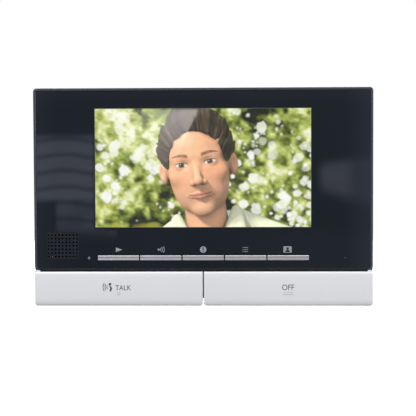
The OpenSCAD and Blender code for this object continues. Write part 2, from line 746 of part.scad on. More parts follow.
// Section of a large key in (depth, height): a crowned face with a bevel above and below
module key_section(inset) {
    face = key_face_d - inset;
    z_top = key_top - (inset > 0 ? key_wall : 0);
    z_bottom = bottom + (inset > 0 ? key_wall : 0);
    z_crown = (z_top + z_bottom) / 2 + 0.8;
    crown = [for (i = [0:10]) let (z = z_top - 1.4 - i / 10 * (z_top - z_bottom - 4.4))
             [face - (z - z_crown) * (z - z_crown) / (2 * key_crown_r), z]];
    polygon(concat([[key_deck_d - 1, z_top], [face - 0.9, z_top], [face - 0.4, z_top - 0.5]],
                   crown,
                   [[face - 0.6, z_bottom + 1.2], [face - 1.1, z_bottom + 0.4],
                    [face - 2, z_bottom], [key_deck_d - 1, z_bottom]]));
}

// The key on the side of s: -1 for talk, 1 for off
module large_key(s) {
    span = s < 0 ? [-side, -key_inner] : [key_inner, side];
    wall_span = [span[0] + key_wall, span[1] - key_wall];
    tab = s < 0 ? [-side, -side + tab_w] : [side - tab_w, side];
    difference() {
        union() {
            intersection() {
                along_x(span) key_section(0);
                slab(span, [bottom, key_top + 10], [0, body_d + 1], key_corner_r);
            }
            slab(tab, [key_top - 2, key_top + tab_rise], [key_deck_d + 3.4, panel_d + 0.1]);
        }
        along_x(wall_span) key_section(key_skin);
        slab([span[0] - 1, span[1] + 1], [bottom + key_wall, key_top + 5],
             [key_deck_d - 2, key_deck_d + 1.6]);
        slab([span[0] - 1, span[1] + 1], [bottom - 1, bottom + key_wall + eps],
             [key_deck_d - 2, key_deck_d]);
        slab(wall_span, [key_top - key_wall - eps, key_top + 5],
             [key_deck_d, key_deck_d + 2.4]);
    }
    for (x = hinge_in) difference() {
        lug = around(s * x, lug_w);
        union() {
            bar(lug, axis_d, axis_z, lug_r);
            slab(lug, around(axis_z, 2 * lug_r), [axis_d, key_face_d - key_skin - 0.2]);
        }
        bar([lug[0] - eps, lug[1] + eps], axis_d, axis_z, pin_r + run_gap);
    }
    rod(s * key_mid_x, key_switch_z, [plunger_d + press_gap, key_face_d - key_skin], 1.5);
}

// A dot and a dash that the fingertips find
module talk_key() color([0.84, 0.85, 0.87]) {
    large_key(-1);
    rod(-key_mid_x, mark_z, [key_face_d - key_skin / 2, body_d], dot_r);
}

module off_key() color([0.84, 0.85, 0.87]) {
    large_key(1);
    slab(around(key_mid_x, dash[0]), around(mark_z, dash[1]),
         [key_face_d - key_skin / 2, body_d], 0.5);
}

// --- Function keys -------------------------------------------------------------------------

module function_key(i) color([0.58, 0.57, 0.61]) {
    face = panel_d + fkey_proud;
    flange_front_d = deck_back_d - 0.1;
    h = fkey_h / 2;
    x = around(fkey_x[i], fkey_w);
    along_x(x) translate([0, fkey_z])
        polygon([[flange_front_d - eps, h], [face - 0.5, h], [face, h - 0.5], [face, h - 0.9],
                 [face - 0.25, h - 1.3], [face - 0.25, -h + 1.3], [face, -h + 0.9],
                 [face, -h + 0.5], [face - 0.5, -h], [flange_front_d - eps, -h]]);
    slab(x, around(fkey_z, fkey_flange_h), [flange_front_d - fkey_flange_t, flange_front_d]);
    rod(fkey_x[i], fkey_z, [plunger_d + press_gap, flange_front_d - fkey_flange_t + eps], 1.5);
}

// --- Assembly ------------------------------------------------------------------------------

wall_bracket();
rear_cover();
wall_pads();
rating_plate();
front_case();
front_panel();
display_window();
speaker_grille();
speaker_gasket();
speaker_frame();
speaker_cone();
speaker_magnet();
microphone();
microphone_boot();
indicator_led();
light_pipe();
lcd_bezel();
lcd_glass();
lcd_backlight();
lcd_frame();
main_board();
processor_chips();
shield_can();
ribbon_connectors();
capacitors();
door_relay();
signal_terminal_block();
power_terminal_block();
terminal_screws();
power_board();
transformer();
power_parts();
key_board();
switch_bodies();
display_ribbon();
key_ribbon();
hinge_pins();
case_screws();
board_screws();
key_board_screws();
talk_key();
off_key();
function_key(0);  // play_key
function_key(1);  // volume_key
function_key(2);  // alert_key
function_key(3);  // list_key
function_key(4);  // contact_key
plunger(0);  // play_plunger
plunger(1);  // volume_plunger
plunger(2);  // alert_plunger
plunger(3);  // list_plunger
plunger(4);  // contact_plunger
plunger(5);  // talk_plunger
plunger(6);  // off_plunger
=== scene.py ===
"""Looks of the video intercom monitor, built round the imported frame.

Metres, +Z up, +X to the right seen from the front. The front faces -Y and the wall is Y = 0.
"""
import json
import math

import bmesh
import bpy
import numpy as np
from mathutils import Matrix, Vector
from mathutils.bvhtree import BVHTree

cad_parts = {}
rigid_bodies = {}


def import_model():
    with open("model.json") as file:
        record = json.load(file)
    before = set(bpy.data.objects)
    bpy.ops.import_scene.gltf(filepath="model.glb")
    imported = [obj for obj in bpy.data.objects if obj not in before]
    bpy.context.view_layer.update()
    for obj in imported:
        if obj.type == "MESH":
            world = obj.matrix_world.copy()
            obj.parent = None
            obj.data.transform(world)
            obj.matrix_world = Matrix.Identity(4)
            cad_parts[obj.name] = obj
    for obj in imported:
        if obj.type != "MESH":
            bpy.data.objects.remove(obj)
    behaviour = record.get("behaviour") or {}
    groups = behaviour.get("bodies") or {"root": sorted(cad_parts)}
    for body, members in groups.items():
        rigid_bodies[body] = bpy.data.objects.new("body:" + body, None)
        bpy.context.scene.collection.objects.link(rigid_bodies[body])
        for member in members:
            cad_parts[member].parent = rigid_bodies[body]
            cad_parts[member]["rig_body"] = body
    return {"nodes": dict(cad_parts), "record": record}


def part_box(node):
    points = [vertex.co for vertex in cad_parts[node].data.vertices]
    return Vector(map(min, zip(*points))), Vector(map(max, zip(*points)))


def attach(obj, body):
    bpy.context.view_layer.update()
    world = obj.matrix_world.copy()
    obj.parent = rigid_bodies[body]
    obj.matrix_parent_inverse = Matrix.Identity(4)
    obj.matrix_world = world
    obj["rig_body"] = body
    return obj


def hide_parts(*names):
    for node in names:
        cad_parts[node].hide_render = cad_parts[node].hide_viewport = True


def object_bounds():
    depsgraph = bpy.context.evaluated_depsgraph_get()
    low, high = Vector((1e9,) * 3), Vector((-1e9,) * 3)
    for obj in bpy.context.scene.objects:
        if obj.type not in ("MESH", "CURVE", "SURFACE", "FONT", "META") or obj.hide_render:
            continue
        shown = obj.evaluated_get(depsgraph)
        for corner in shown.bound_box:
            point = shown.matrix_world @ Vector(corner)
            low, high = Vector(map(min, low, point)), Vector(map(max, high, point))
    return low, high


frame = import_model()
cad_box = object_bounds()
MM = 0.001


# --- Places that the frame gives ------------------------------------------------------------

panel_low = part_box("front_panel")[0]
window_low, window_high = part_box("display_window")
picture_low, picture_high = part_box("lcd_glass")
PANEL_Y = panel_low.y
PRINT_LIFT = 0.03 * MM


# --- Camera and studio ----------------------------------------------------------------------

CAMERA_AZIMUTH = math.radians(1.81)
CAMERA_ELEVATION = math.radians(3.09)
CAMERA_ROLL = math.radians(-0.234)
CAMERA_DISTANCE = 1.0
CAMERA_TARGET = Vector((0, -0.014, 0))
CAMERA_LENS = 119.8
CAMERA_SHIFT = (0.01077, -0.02808)
FLOOR_DROP = 0.075
WORLD_SOFT = 0.5
WORLD_MIRRORED = 0.16
MIRROR_DEPTH = 1.7
GLARE = 8.5
PICTURE_STEPS = (400, 222)


def make_camera():
    data = bpy.data.cameras.new("camera")
    data.lens, data.sensor_width = CAMERA_LENS, 36
    data.shift_x, data.shift_y = CAMERA_SHIFT
    camera = bpy.data.objects.new("camera", data)
    bpy.context.scene.collection.objects.link(camera)
    away = Vector((math.sin(CAMERA_AZIMUTH) * math.cos(CAMERA_ELEVATION),
                   -math.cos(CAMERA_AZIMUTH) * math.cos(CAMERA_ELEVATION),
                   math.sin(CAMERA_ELEVATION)))
    camera.location = CAMERA_TARGET + away * CAMERA_DISTANCE
    turn = (-away).to_track_quat("-Z", "Y").to_matrix() @ Matrix.Rotation(CAMERA_ROLL, 3, "Z")
    camera.rotation_euler = turn.to_euler()
    bpy.context.scene.camera = camera


make_camera()


# --- Materials kit --------------------------------------------------------------------------

class Signal:
    """A value inside a finish. Arithmetic on it adds Math nodes."""

    def __init__(self, finish, socket):
        self.finish, self.socket = finish, socket

    def joined(self, operation, other, swapped=False):
        first, second = (other, self) if swapped else (self, other)
        return self.finish.add("ShaderNodeMath", {"operation": operation},
                               {0: first, 1: second})

    def __add__(self, other):
        return self.joined("ADD", other)

    def __sub__(self, other):
        return self.joined("SUBTRACT", other)

    def __rsub__(self, other):
        return self.joined("SUBTRACT", other, swapped=True)

    def __mul__(self, other):
        return self.joined("MULTIPLY", other)

    def __gt__(self, other):
        return self.joined("GREATER_THAN", other)

    __radd__ = __add__
    __rmul__ = __mul__


class Finish:
    """One material, made of nodes round a Principled shader."""

    def __init__(self, name, **constants):
        self.material = bpy.data.materials.new(name)
        self.material.use_nodes = True
        self.tree = self.material.node_tree
        self.shader = self.tree.nodes["Principled BSDF"]
        for socket, value in constants.items():
            self.shader.inputs[socket.replace("_", " ")].default_value = value
        self.place = self.add("ShaderNodeTexCoord", output="Object")

    def add(self, kind, settings=None, inputs=None, output=0):
        """A node of that kind: its settings are made first, then its sockets are set."""
        node = self.tree.nodes.new(kind)
        for name, value in (settings or {}).items():
            setattr(node, name, value)
        for key, value in (inputs or {}).items():
            if isinstance(value, Signal):
                self.tree.links.new(value.socket, node.inputs[key])
            else:
                node.inputs[key].default_value = value
        return Signal(self, node.outputs[output])

    def feed(self, socket, signal):
        self.tree.links.new(signal.socket, self.shader.inputs[socket])

    def stretched(self, scale):
        return self.add("ShaderNodeMapping", inputs={"Vector": self.place, "Scale": scale})

    def noise(self, scale, detail=2.0, place=None, roughness=0.5):
        return self.add("ShaderNodeTexNoise",
                        inputs={"Vector": place or self.place, "Scale": scale,
                                "Detail": detail, "Roughness": roughness})

    def mix(self, factor, first, second):
        return self.add("ShaderNodeMix", {"data_type": "RGBA"},
                        {"Factor": factor, 6: first, 7: second}, output=2)

    def bump(self, height, strength, distance):
        bump = self.add("ShaderNodeBump", inputs={"Height": height, "Strength": strength,
                                                  "Distance": distance})
        self.feed("Normal", bump)


def rgba(red, green, blue):
    return (red, green, blue, 1)


def toned(color, factor):
    return tuple(min(1, channel * factor) for channel in color[:3]) + (1,)


def moulded_plastic(name, color, roughness, grain=0.15, grain_scale=2600, **constants):
    """Moulded plastic: a fine spark-eroded grain and slow changes of tone and gloss."""
    finish = Finish(name, **constants)
    slow = finish.noise(22, 3)
    fine = finish.noise(grain_scale, 2)
    finish.feed("Base Color", finish.mix(slow, toned(color, 0.86), toned(color, 1.14)))
    finish.feed("Roughness", slow * 0.08 + fine * 0.1 + (roughness - 0.09))
    finish.bump(fine, grain, 0.05 * MM)
    return finish.material


def gloss_acrylic():
    """Deep black acrylic, polished, with the faint waviness of a large flat sheet."""
    finish = Finish("gloss_acrylic", IOR=1.49)
    slow = finish.noise(9, 2)
    dust = finish.noise(900, 3)
    finish.feed("Base Color", finish.mix(slow, rgba(0.0052, 0.0072, 0.0105),
                                         rgba(0.0064, 0.0088, 0.013)))
    finish.feed("Roughness", slow * 0.01 + dust * 0.015 + 0.008)
    finish.bump(finish.noise(14, 1, finish.stretched((0.7, 1, 1.6))), 0.01, 1.2 * MM)
    return finish.material


def satin_paint(name, color, metallic, roughness):
    """Fine silver paint on plastic: minute flakes that vary its tone and its gloss."""
    finish = Finish(name, Coat_Roughness=0.25)
    flakes = finish.add("ShaderNodeTexVoronoi", inputs={"Vector": finish.place, "Scale": 5200})
    slow = finish.noise(16, 2)
    tone = finish.mix(flakes * 0.5 + slow * 0.5, toned(color, 0.95), toned(color, 1.05))
    finish.feed("Base Color", tone)
    finish.feed("Metallic", flakes * 0.12 + (metallic - 0.06))
    finish.feed("Roughness", slow * 0.06 + (roughness - 0.03))
    finish.shader.inputs["Coat Weight"].default_value = 0.15
    finish.bump(finish.noise(3800, 1), 0.04, 0.03 * MM)
    return finish.material


def metal(name, color, roughness, brush=(1, 1, 40), strength=0.08):
    """Sheet or turned metal with fine lines from rolling or turning."""
    finish = Finish(name)
    lines = finish.noise(260, 3, finish.stretched(brush))
    cloud = finish.noise(60, 2)
    finish.feed("Base Color", finish.mix(lines * 0.6 + cloud * 0.4, toned(color, 0.82),
                                         toned(color, 1.1)))
    finish.feed("Roughness", lines * 0.16 + cloud * 0.06 + (roughness - 0.1))
    finish.shader.inputs["Metallic"].default_value = 1
    finish.bump(lines, strength, 0.03 * MM)
    return finish.material


def zinc_sheet():
    """Zinc-plated sheet: soft patches of crystal over a rolled surface."""
    finish = Finish("zinc_sheet", Metallic=0.9)
    crystals = finish.add("ShaderNodeTexVoronoi", inputs={"Vector": finish.place, "Scale": 420},
                          output="Color")
    shade = finish.add("ShaderNodeSeparateColor", inputs={"Color": crystals})
    lines = finish.noise(500, 2, finish.stretched((1, 1, 14)))
    finish.feed("Base Color", finish.mix(shade * 0.6 + lines * 0.4, rgba(0.50, 0.52, 0.54),
                                         rgba(0.62, 0.64, 0.65)))
    finish.feed("Roughness", shade * 0.14 + lines * 0.08 + 0.24)
    finish.bump(lines, 0.06, 0.03 * MM)
    return finish.material


def rubber(name, color):
    finish = Finish(name)
    grain = finish.noise(1800, 3)
    finish.feed("Base Color", finish.mix(grain, toned(color, 0.8), toned(color, 1.25)))
    finish.feed("Roughness", grain * 0.14 + 0.72)
    finish.bump(grain, 0.3, 0.06 * MM)
    return finish.material


def circuit_board(name, mask, track):
    """Solder mask over copper: a grid of tracks that shows as a lighter tone, with vias."""
    finish = Finish(name)
    across = finish.add("ShaderNodeSeparateXYZ", inputs={"Vector": finish.place}, output="X")
    blocks = finish.add("ShaderNodeTexBrick",
                        {"offset": 0.37, "squash": 0.7},
                        {"Vector": finish.add("ShaderNodeMapping",
                                              inputs={"Vector": finish.place,
                                                      "Rotation": (math.pi / 2, 0, 0)}),
                         "Scale": 60, "Mortar Size": 0.03, "Mortar Smooth": 0.2,
                         "Color1": mask, "Color2": toned(mask, 1.25), "Mortar": track})
    tracks = finish.add("ShaderNodeMath", {"operation": "PINGPONG"}, {0: across, 1: 0.5 * MM})
    lines = (tracks > 0.32 * MM) * (finish.noise(45, 1) > 0.52)
    finish.feed("Base Color", finish.mix(lines * 0.8, blocks, track))
    finish.feed("Roughness", lines * 0.08 + 0.3)
    finish.bump(lines, 0.25, 0.03 * MM)
    return finish.material


def clear_window():
    """Hard-coated clear acrylic. Light passes it, so what lies behind stays lit."""
    finish = Finish("clear_window", IOR=1.3, Roughness=0.02)
    finish.shader.inputs["Transmission Weight"].default_value = 1
    haze = finish.noise(30, 2)
    finish.feed("Base Color", finish.mix(haze, rgba(0.97, 0.985, 0.99), rgba(1, 1, 1)))
    passing = finish.add("ShaderNodeBsdfTransparent")
    shadow = finish.add("ShaderNodeLightPath", output="Is Shadow Ray")
    mixed = finish.add("ShaderNodeMixShader", inputs={
        0: shadow, 1: Signal(finish, finish.shader.outputs[0]), 2: passing})
    output = finish.tree.nodes["Material Output"]
    finish.tree.links.new(mixed.socket, output.inputs["Surface"])
    return finish.material


def printed_ink(name, color, roughness=0.45):
    finish = Finish(name)
    cloud = finish.noise(700, 2)
    finish.feed("Base Color", finish.mix(cloud, toned(color, 0.9), toned(color, 1.06)))
    finish.feed("Roughness", cloud * 0.1 + (roughness - 0.05))
    return finish.material


def display_light():
    """The face of the display: dark glass that glows with the colours of its points."""
    finish = Finish("display_light", Roughness=0.35, IOR=1.2, Emission_Strength=1)
    grain = finish.noise(1500, 1)
    finish.feed("Base Color", finish.mix(grain, rgba(0.004, 0.004, 0.005),
                                         rgba(0.008, 0.008, 0.009)))
    finish.feed("Emission Color", finish.add("ShaderNodeAttribute",
                                             {"attribute_name": "picture"}))
    return finish.material


FINISHES = {
    "lcd_picture": display_light(),
    "zinc_steel": zinc_sheet(),
    "cover_plastic": moulded_plastic("cover_plastic", rgba(0.026, 0.027, 0.03), 0.55, 0.5, 1500),
    "black_rubber": rubber("black_rubber", rgba(0.022, 0.022, 0.022)),
    "plate_film": metal("plate_film", rgba(0.6, 0.61, 0.62), 0.4),
    "case_plastic": moulded_plastic("case_plastic", rgba(0.036, 0.040, 0.049), 0.24, 0.05),
    "panel_gloss": gloss_acrylic(),
    "window_clear": clear_window(),
    "grille_plastic": moulded_plastic("grille_plastic", rgba(0.0055, 0.0078, 0.0115), 0.24, 0.05),
    "foam": rubber("foam", rgba(0.05, 0.05, 0.05)),
    "plated_steel": metal("plated_steel", rgba(0.6, 0.61, 0.63), 0.3),
    "cone_paper": rubber("cone_paper", rgba(0.02, 0.02, 0.021)),
    "can_metal": metal("can_metal", rgba(0.72, 0.73, 0.74), 0.26),
    "led_white": moulded_plastic("led_white", rgba(0.8, 0.8, 0.74), 0.35),
    "pipe_clear": moulded_plastic("pipe_clear", rgba(0.13, 0.15, 0.17), 0.25, 0.02),
    "white_plastic": moulded_plastic("white_plastic", rgba(0.8, 0.8, 0.77), 0.5),
    "board_green": circuit_board("board_green", rgba(0.018, 0.11, 0.045),
                                 rgba(0.05, 0.2, 0.08)),
    "chip_black": moulded_plastic("chip_black", rgba(0.02, 0.02, 0.022), 0.5, 0.3),
    "cream_plastic": moulded_plastic("cream_plastic", rgba(0.7, 0.65, 0.52), 0.45),
    "sleeve_blue": moulded_plastic("sleeve_blue", rgba(0.03, 0.045, 0.13), 0.35),
    "relay_blue": moulded_plastic("relay_blue", rgba(0.02, 0.07, 0.22), 0.35),
    "terminal_green": moulded_plastic("terminal_green", rgba(0.03, 0.2, 0.07), 0.42),
    "screw_nickel": metal("screw_nickel", rgba(0.66, 0.64, 0.6), 0.28, (1, 1, 1)),
    "board_brown": circuit_board("board_brown", rgba(0.25, 0.15, 0.05),
                                 rgba(0.36, 0.24, 0.09)),
    "winding_tape": moulded_plastic("winding_tape", rgba(0.72, 0.5, 0.05), 0.35),
    "ribbon_amber": moulded_plastic("ribbon_amber", rgba(0.5, 0.25, 0.04), 0.3),
    "ribbon_white": moulded_plastic("ribbon_white", rgba(0.76, 0.76, 0.74), 0.45),
    "pin_steel": metal("pin_steel", rgba(0.6, 0.6, 0.62), 0.22),
    "key_silver": satin_paint("key_silver", rgba(0.67, 0.68, 0.70), 0.2, 0.42),
    "fkey_silver": satin_paint("fkey_silver", rgba(0.39, 0.385, 0.415), 0.45, 0.36),
    "plunger_cream": moulded_plastic("plunger_cream", rgba(0.55, 0.5, 0.42), 0.45),
}
for part in frame["record"]["subparts"]:
    if part["material_slot"] in FINISHES:
        slots = frame["nodes"][part["node"]].data.materials
        slots.clear()
        slots.append(FINISHES[part["material_slot"]])
SLOT_OF = {part["node"]: part["material_slot"] for part in frame["record"]["subparts"]}


# --- Shaping --------------------------------------------------------------------------------

SHARP = math.radians(35)


def piece_of(name, shape, body, slot=None, finish=None, smooth=True):
    """Turns a bmesh into a piece that rides on a body."""
    mesh = bpy.data.meshes.new(name)
    shape.to_mesh(mesh)
    shape.free()
    piece = bpy.data.objects.new(name, mesh)
    bpy.context.scene.collection.objects.link(piece)
    if smooth:
        mesh.shade_smooth()
        mesh.set_sharp_from_angle(angle=SHARP)
    mesh.materials.append(finish or FINISHES[slot])
    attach(piece, body)
    return piece


def finished(node, edge, keep=lambda middle: True, segments=3):
    """A copy of a CAD node with its edges eased, which stands for the node."""
    shape = bmesh.new()
    shape.from_mesh(frame["nodes"][node].data)
    bmesh.ops.remove_doubles(shape, verts=shape.verts, dist=1e-6)
    bmesh.ops.dissolve_limit(shape, angle_limit=math.radians(0.1), verts=shape.verts,
                             edges=shape.edges)
    sharp = [e for e in shape.edges
             if e.is_manifold and e.calc_face_angle(0) > SHARP
             and keep((e.verts[0].co + e.verts[1].co) / 2)]
    bmesh.ops.bevel(shape, geom=sharp, offset=edge, offset_type="OFFSET", segments=segments,
                    affect="EDGES", profile=0.5, clamp_overlap=False, material=-1)
    body = frame["nodes"][node]["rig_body"]
    piece = piece_of(node + "_finished", shape, body, SLOT_OF[node])
    weights = piece.modifiers.new("flat_faces_lead", "WEIGHTED_NORMAL")
    weights.keep_sharp = True
    weights.weight = 100
    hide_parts(node)
    return piece


# --- Studio ---------------------------------------------------------------------------------

def softbox(name, location, target, size, power):
    data = bpy.data.lights.new(name, "AREA")
    data.shape, data.size, data.size_y, data.energy = "RECTANGLE", size[0], size[1], power
    light = bpy.data.objects.new(name, data)
    bpy.context.scene.collection.objects.link(light)
    light.location = location
    light.rotation_euler = (Vector(target) - Vector(location)).to_track_quat("-Z", "Y").to_euler()
    return light


def make_world():
    """White to the camera, pale to matt surfaces, dim to mirror-like ones."""
    world = bpy.data.worlds.new("studio")
    bpy.context.scene.world = world
    world.use_nodes = True
    nodes, links = world.node_tree.nodes, world.node_tree.links
    path = nodes.new("ShaderNodeLightPath")
    color = nodes["Background"].inputs["Color"]
    color.default_value = (WORLD_SOFT, WORLD_SOFT, WORLD_SOFT * 1.02, 1)
    for ray, level in (("Is Glossy Ray", WORLD_MIRRORED), ("Is Camera Ray", 1)):
        mix = nodes.new("ShaderNodeMix")
        mix.data_type = "RGBA"
        if color.is_linked:
            links.new(color.links[0].from_socket, mix.inputs[6])
        else:
            mix.inputs[6].default_value = tuple(color.default_value)
        mix.inputs[7].default_value = (level, level, level * 1.02, 1)
        links.new(path.outputs[ray], mix.inputs["Factor"])
        links.new(mix.outputs[2], color)


def make_floor():
    shape = bmesh.new()
    bmesh.ops.create_grid(shape, x_segments=1, y_segments=1, size=1.4)
    bmesh.ops.translate(shape, vec=(0, 0, cad_box[0].z - FLOOR_DROP), verts=shape.verts)
    mesh = bpy.data.meshes.new("floor")
    shape.to_mesh(mesh)
    shape.free()
    floor = bpy.data.objects.new("floor", mesh)
    bpy.context.scene.collection.objects.link(floor)
    finish = Finish("floor_paper", Roughness=0.9)
    finish.feed("Base Color", finish.mix(finish.noise(2, 2), rgba(0.6, 0.6, 0.6),
                                         rgba(0.62, 0.62, 0.62)))
    finish.shader.inputs["Emission Color"].default_value = (1, 1, 1, 1)
    finish.shader.inputs["Emission Strength"].default_value = 0.8
    below = finish.add("ShaderNodeNewGeometry", output="Backfacing")
    mixed = finish.add("ShaderNodeMixShader", inputs={
        0: below, 1: Signal(finish, finish.shader.outputs[0]),
        2: finish.add("ShaderNodeBsdfTransparent")})
    finish.tree.links.new(mixed.socket, finish.tree.nodes["Material Output"].inputs["Surface"])
    mesh.materials.append(finish.material)
    floor.visible_glossy = False
    floor.visible_diffuse = False


make_world()
make_floor()
softbox("key_light", (-0.9, -1.3, 1.2), (0, 0, 0), (0.9, 0.9), 26)
softbox("fill_light", (1.2, -1.0, 0.5), (0, 0, 0), (0.9, 0.9), 13)
softbox("top_light", (0, -0.1, 1.3), (0, 0, 0), (1.2, 0.8), 14)
softbox("back_light", (0.3, 1.4, 0.8), (0, 0, 0), (1.2, 0.8), 16)
bpy.context.scene.view_settings.view_transform = "Standard"


# --- Picture on the display -----------------------------------------------------------------

def smooth(low, high, value):
    t = np.clip((value - low) / (high - low), 0, 1)
    return t * t * (3 - 2 * t)


def blend(under, over, alpha):
    return under + (over - under) * np.asarray(alpha)[..., None]


def screen_color(red, green, blue):
    """Linear colour from display values of 0 to 255."""
    return np.array([red, green, blue]) ** 2.2 / 255 ** 2.2


def cloud(seed, x, y, cell):
    """Soft random values from 0 to 1 whose patches have that size."""
    table = np.random.default_rng(seed).random((64, 64))
    a, b = x / cell + 640, y / cell + 640
    i, j = np.floor(a).astype(int), np.floor(b).astype(int)
    s, t = smooth(0, 1, a - i), smooth(0, 1, b - j)
    i, j, k, l = i % 64, j % 64, (i + 1) % 64, (j + 1) % 64
    near = table[i, j] * (1 - s) + table[k, j] * s
    far = table[i, l] * (1 - s) + table[k, l] * s
    return near * (1 - t) + far * t


# Head units: chin at -1, crown at +1, x to the right of the picture, z towards the viewer.
HEAD_PLACE = (-3.6, 24.2)
HEAD_UNIT = 38.0
HEAD_TILT = math.radians(8.5)
HEAD_TURN = math.radians(4)


def ellipsoid(p, centre, radii):
    q = (p - centre) / radii
    k = np.sqrt((q * q).sum(1))
    q = q / radii
    return k * (k - 1) / np.maximum(np.sqrt((q * q).sum(1)), 1e-6)


def limb(p, start, end, first, last):
    start, axis = np.array(start), np.array(end) - np.array(start)
    h = np.clip((p - start) @ axis / (axis @ axis), 0, 1)
    q = p - start - h[:, None] * axis
    return np.sqrt((q * q).sum(1)) - (first + (last - first) * h)


def melt(a, b, k):
    h = np.clip(0.5 + 0.5 * (b - a) / k, 0, 1)
    return b + (a - b) * h - k * h * (1 - h)


def carve(a, b, k):
    return -melt(-a, b, k)


def skin(p):
    q = p * 1.0
    q[:, 0] = np.abs(q[:, 0])
    d = melt(ellipsoid(q, (0, 0.27, -0.12), (0.655, 0.70, 0.80)),
             ellipsoid(q, (0, -0.16, 0.06), (0.56, 0.74, 0.58)), 0.12)
    d = melt(d, ellipsoid(q, (0.12, -0.52, 0.04), (0.35, 0.38, 0.44)), 0.12)
    d = melt(d, ellipsoid(q, (0, -0.85, 0.33), (0.20, 0.15, 0.17)), 0.14)
    d = melt(d, ellipsoid(q, (0.36, -0.19, 0.34), (0.16, 0.13, 0.15)), 0.14)
    d = melt(d, limb(q, (0.06, 0.16, 0.58), (0.38, 0.16, 0.42), 0.055, 0.05), 0.12)
    d = carve(d, ellipsoid(q, (0.27, 0.0, 0.70), (0.15, 0.085, 0.14)), 0.08)
    d = melt(d, ellipsoid(q, (0.27, 0.0, 0.475), (0.135, 0.11, 0.115)), 0.03)
    d = melt(d, limb(q, (0, 0.09, 0.57), (0, -0.30, 0.73), 0.045, 0.07), 0.08)
    d = melt(d, ellipsoid(q, (0, -0.33, 0.73), (0.085, 0.075, 0.09)), 0.05)
    d = melt(d, ellipsoid(q, (0.10, -0.355, 0.62), (0.062, 0.055, 0.08)), 0.035)
    d = melt(d, limb(q, (0, -0.56, 0.595), (0.23, -0.585, 0.49), 0.034, 0.012), 0.04)
    d = melt(d, limb(q, (0, -0.628, 0.58), (0.18, -0.605, 0.51), 0.036, 0.018), 0.04)
    d = carve(d, limb(q, (0.0, -0.592, 0.67), (0.22, -0.585, 0.56), 0.02, 0.012), 0.02)
    d = melt(d, limb(q, (0, -0.7, -0.16), (0, -1.9, -0.35), 0.37, 0.44), 0.08)
    ear = ellipsoid(q, (0.655, -0.10, -0.06), (0.085, 0.20, 0.13))
    ear = carve(ear, ellipsoid(q, (0.70, -0.07, 0.06), (0.04, 0.12, 0.07)), 0.03)
    return melt(d, ear, 0.05)


def hair(p):
    x, y, z = p[:, 0], p[:, 1], p[:, 2]
    angle = np.arctan2(x + 0.25 * y, y + 0.6)
    length = np.sqrt(x * x + y * y + z * z)
    strands = cloud(5, angle * 40 + 3 * cloud(6, x, y, 0.25), length + 0.5 * z, 1.0) - 0.5
    locks = cloud(7, angle * 9 + cloud(8, y, z, 0.3), length * 0.7 + z, 1.0) - 0.5
    d = melt(ellipsoid(p, (0.0, 0.33, -0.14), (0.715, 0.76, 0.84)),
             ellipsoid(p, (0.03, 0.82, 0.32), (0.38, 0.22, 0.25)), 0.16)
    d = d - 0.045 * strands - 0.10 * locks
    q = p * 1.0
    q[:, 0] = np.abs(q[:, 0])
    d = carve(d, ellipsoid(q, (0, -0.16, 0.80), (0.64, 0.80, 0.86)) - 0.04 * strands, 0.04)
    d = carve(d, y + 0.10 + 0.5 * (z + 0.1), 0.05)
    d = carve(d, ellipsoid(q, (0.70, -0.12, -0.02), (0.10, 0.22, 0.16)), 0.03)
    return d * 0.7


def shirt(p):
    q = p * 1.0
    q[:, 0] = np.abs(q[:, 0])
    d = melt(ellipsoid(q, (0, -2.35, -0.35), (1.35, 0.95, 0.62)),
             limb(q, (0.62, -1.24, -0.45), (1.8, -2.02, -0.5), 0.25, 0.36), 0.2)
    ring = limb(q, (0.56, -0.98, -0.30), (0.30, -1.55, 0.28), 0.085, 0.10)
    flap = limb(q, (0.60, -1.06, -0.20), (0.62, -1.45, 0.12), 0.09, 0.12)
    d = carve(d, limb(q, (0, -1.0, -0.1), (0, -1.75, 0.45), 0.50, 0.16), 0.03)
    return melt(d, melt(ring, flap, 0.12), 0.03)


def whole(p):
    return np.minimum(np.minimum(skin(p), hair(p)), shirt(p))


